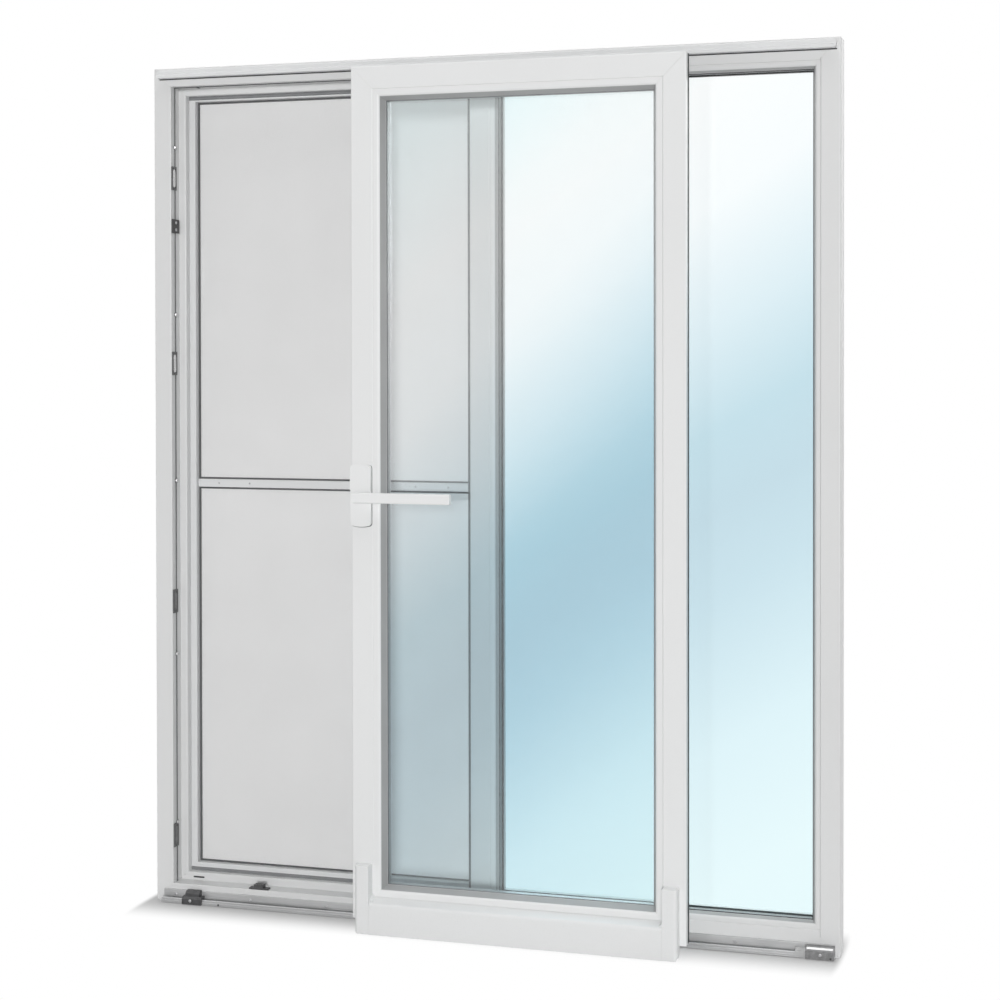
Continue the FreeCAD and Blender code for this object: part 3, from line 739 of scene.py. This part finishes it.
def handle_gasket_and_shadow():
    """Thin gasket that shows a little around the foot of the handle plate, set low so that its dark rim
    below the plate paints the shadow there.
    """
    plate = nodes["handle_plate"]
    low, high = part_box("handle_plate")
    reach, thickness, drop = handle_rim_and_shadow
    middle = (low + high) / 2
    spots = [plate.matrix_world @ vertex.co for vertex in plate.data.vertices]
    flat = [(spot.x, spot.z) for spot in spots]
    rim = [flat[index] for index in convex_hull_2d(flat)]
    wider, taller = 1 + 2 * reach / (high.x - low.x), 1 + 2 * reach / (high.z - low.z)
    points = []
    for y in (high.y - thickness, high.y):
        for x, z in rim:
            rim_x = max(low.x, middle.x + (x - middle.x) * wider)
            points.append((rim_x, y, middle.z + (z - middle.z) * taller - drop))
    count = len(rim)
    faces = stacked(count, 2) + [tuple(range(count, 2 * count))]
    add_piece("handle_gasket_and_shadow", (points, faces), "grey_gasket", "sash", look="spline_grey")


def stop_highlight():
    """Bright strip on the bevel of the right stop: a painted highlight."""
    low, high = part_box("right_stop")
    start = Vector((low.y + edge_margin, high.z - stop_bevel + edge_margin))
    end = Vector((low.y + stop_bevel - edge_margin, high.z - edge_margin))
    outward = Vector((-edge_rise, edge_rise))
    profile = [start, end, end + outward, start + outward]
    shape = prism(profile, low.x + edge_margin, high.x - edge_margin)
    add_piece("stop_highlight", shape, "bright_steel", "frame", look="polished_steel_and_highlight")


def drain_slot_shades():
    """Black pills for the drain openings in the lip of the sill, and for a vent in the rebate of the head,
    that paint the shade inside them.
    """
    shapes = [placed(pill(*drain_size), (x, lip_front, drain_height), (0, -1, 0)) for x in drain_ends]
    shapes.append(placed(pill(*head_slot_size), head_slot_place, (0, 0, -1)))
    add_piece("drain_slot_shades", join(shapes), "black_gasket", "frame")


def lock_cams():
    """Cams on the lock plates, at the heights of the keeps that they enter."""
    low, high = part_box("sash_lock_plates")
    y = (low.y + high.y) / 2
    shapes = []
    for height in lock_heights:
        shapes.append(placed(turned(lock_cam), (low.x, y, height), (-1, 0, 0)))
        shapes.append(placed(turned(lock_cam), (high.x, y, frame_height - height), (1, 0, 0)))
    add_piece("lock_cams", join(shapes), "bright_steel", "sash")


def carriage_bolts():
    """Bolts through both carriages."""
    shapes = []
    for name in ("left_trolley", "right_trolley"):
        low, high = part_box(name)
        for x in (low.x + carriage_bolt_inset, high.x - carriage_bolt_inset):
            place = (x, carriage_front, carriage_bolt_height)
            shapes.append(placed(turned(carriage_bolt), place, (0, -1, 0)))
    add_piece("carriage_bolts", join(shapes), "bright_steel", "sash")


def buffer_ribs():
    """Upright ribs on the buffer of the right stop."""
    low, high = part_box("stop_buffer")
    knee = high.z - buffer_bevel
    profile = [
        (low.y, low.z + rib_width), (low.y, knee), (low.y + buffer_bevel, high.z),
        (low.y + buffer_bevel, high.z + rib_rise), (low.y - rib_rise, knee + rib_rise / 2),
        (low.y - rib_rise, low.z + rib_width),
    ]
    gap = (high.x - low.x - rib_width) / (rib_count - 1)
    starts = [low.x + step * gap for step in range(rib_count)]
    shapes = [prism(profile, start, start + rib_width) for start in starts]
    add_piece("buffer_ribs", join(shapes), "grey_gasket", "frame", look="pale_buffer")


def cover_gussets():
    """Small gussets between the runner cover's bevel and its upright end covers."""
    low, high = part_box("runner_cover")
    front = high.y - gusset_share * (high.y - low.y)
    shapes = []
    for start, inward in ((low.x, 1), (high.x, -1)):
        points = []
        for y, z in ((high.y, high.z), (front, high.z - gusset_share * cover_bevel)):
            points += [(start, y, z), (start + inward * gusset_reach, y, z), (start, y, z + gusset_reach)]
        shapes.append((points, [(0, 1, 2), (3, 5, 4), (0, 3, 4, 1), (1, 4, 5, 2), (2, 5, 3, 0)]))
    add_piece("cover_gussets", join(shapes), "cover_white", "sash")


def seen_rays(tree):
    """One for rays from the camera, a mirror or glass, and zero for the rays that light surfaces."""
    path = add_node(tree, "ShaderNodeLightPath")
    total = path.outputs["Is Camera Ray"]
    for name in ("Is Glossy Ray", "Is Transmission Ray"):
        total = maths(tree, "MAXIMUM", total, path.outputs[name]).outputs[0]
    return total


def away_from_door(tree):
    """Zero at the foot of the frame, rising to one where the floor is plain white, sooner at the sides."""
    low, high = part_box("sill")
    middle = (low + high) / 2
    half = (high - low) / 2
    place = add_node(tree, "ShaderNodeTexCoord").outputs["Object"]
    steps = (
        ("SUBTRACT", (middle.x + shadow_shift, middle.y, 0)),
        ("ABSOLUTE",),
        ("SUBTRACT", (half.x, half.y, 0)),
        ("MAXIMUM", (0, 0, 0)),
        ("MULTIPLY", (shadow_side, 1, 0)),
    )
    for operation, *values in steps:
        place = maths(tree, operation, place, *values, kind="ShaderNodeVectorMath").outputs["Vector"]
    distance = maths(tree, "LENGTH", place, kind="ShaderNodeVectorMath").outputs["Value"]
    fade = add_node(tree, "ShaderNodeMapRange", {"interpolation_type": "SMOOTHSTEP"}, Value=distance)
    fade.inputs["From Max"].default_value = shadow_reach
    return fade.outputs["Result"]


def make_floor():
    """Pale floor, white to the camera where no shadow falls."""
    rim = [(x * floor_reach, y * floor_reach, 0) for x, y in ((-1, -1), (1, -1), (1, 1), (-1, 1))]
    mesh = bpy.data.meshes.new("floor")
    mesh.from_pydata(rim, [], [(0, 1, 2, 3)])
    floor = bpy.data.objects.new("floor", mesh)
    bpy.context.scene.collection.objects.link(floor)
    material = bpy.data.materials.new("floor")
    material.use_nodes = True
    tree = material.node_tree
    tree.nodes.remove(tree.nodes["Principled BSDF"])
    bounce = add_node(tree, "ShaderNodeBsdfDiffuse", Color=grey(floor_bounce))
    shade = add_node(tree, "ShaderNodeBsdfDiffuse", Color=grey(floor_shade))
    glow = add_node(tree, "ShaderNodeEmission", Color=grey(1), Strength=floor_glow)
    near = add_node(tree, "ShaderNodeAddShader")
    socket(tree, near.inputs[0], shade.outputs[0])
    socket(tree, near.inputs[1], glow.outputs[0])
    white = add_node(tree, "ShaderNodeEmission", Color=grey(1), Strength=1.0)
    shown = mixed(tree, away_from_door(tree), near, white)
    mix = mixed(tree, seen_rays(tree), bounce, shown)
    socket(tree, tree.nodes["Material Output"].inputs["Surface"], mix.outputs[0])
    mesh.materials.append(material)


def make_world():
    """Even soft light all round, seen as plain white."""
    world = bpy.data.worlds.new("studio")
    bpy.context.scene.world = world
    world.use_nodes = True
    tree = world.node_tree
    background = tree.nodes["Background"]
    background.inputs["Color"].default_value = grey(1)
    level = add_node(tree, "ShaderNodeMapRange", Value=seen_rays(tree))
    level.inputs["To Min"].default_value = ambient
    level.inputs["To Max"].default_value = 1.0
    socket(tree, background.inputs["Strength"], level.outputs["Result"])


def make_lamps():
    """Soft light from the camera's side, a wide one from above and a weak one from behind."""
    for name, values in lamps.items():
        lamp = bpy.data.lights.new(name, "SUN")
        lamp.energy = values["strength"]
        lamp.angle = values["angle"]
        made = bpy.data.objects.new(name, lamp)
        made.location = values["place"]
        made.rotation_mode = "QUATERNION"
        made.rotation_quaternion = (-values["place"]).to_track_quat("-Z", "Y")
        bpy.context.scene.collection.objects.link(made)


def make_camera():
    """Camera at the photograph's viewing angle."""
    level = Vector((-math.sin(camera_yaw), math.cos(camera_yaw), 0))
    across = Vector((math.cos(camera_yaw), math.sin(camera_yaw), 0))
    upright = Vector((0, 0, 1))
    ahead = level * math.cos(camera_pitch) + upright * math.sin(camera_pitch)
    upward = upright * math.cos(camera_pitch) - level * math.sin(camera_pitch)
    right = across * math.cos(camera_roll) + upward * math.sin(camera_roll)
    up = upward * math.cos(camera_roll) - across * math.sin(camera_roll)
    data = bpy.data.cameras.new("camera")
    data.sensor_width = camera_sensor
    data.lens = camera_lens
    data.shift_y = camera_shift
    camera = bpy.data.objects.new("camera", data)
    turn = Matrix((right, up, -ahead)).transposed().to_4x4()
    camera.matrix_world = Matrix.Translation(camera_place) @ turn
    bpy.context.scene.collection.objects.link(camera)
    bpy.context.scene.camera = camera


dress_nodes()
insect_mesh()
screen_spline()
screen_brushes_and_shade()
rail_fasteners()
rebate_fasteners()
keep_strikes()
rebate_seal()
mullion_seal()
guide_shadow_line()
flange_seal_and_shadow()
bead_shade_strips()
handle_gasket_and_shadow()
stop_highlight()
drain_slot_shades()
lock_cams()
carriage_bolts()
buffer_ribs()
cover_gussets()
make_floor()
make_world()
make_lamps()
make_camera()
bpy.context.scene.view_settings.view_transform = "Standard"
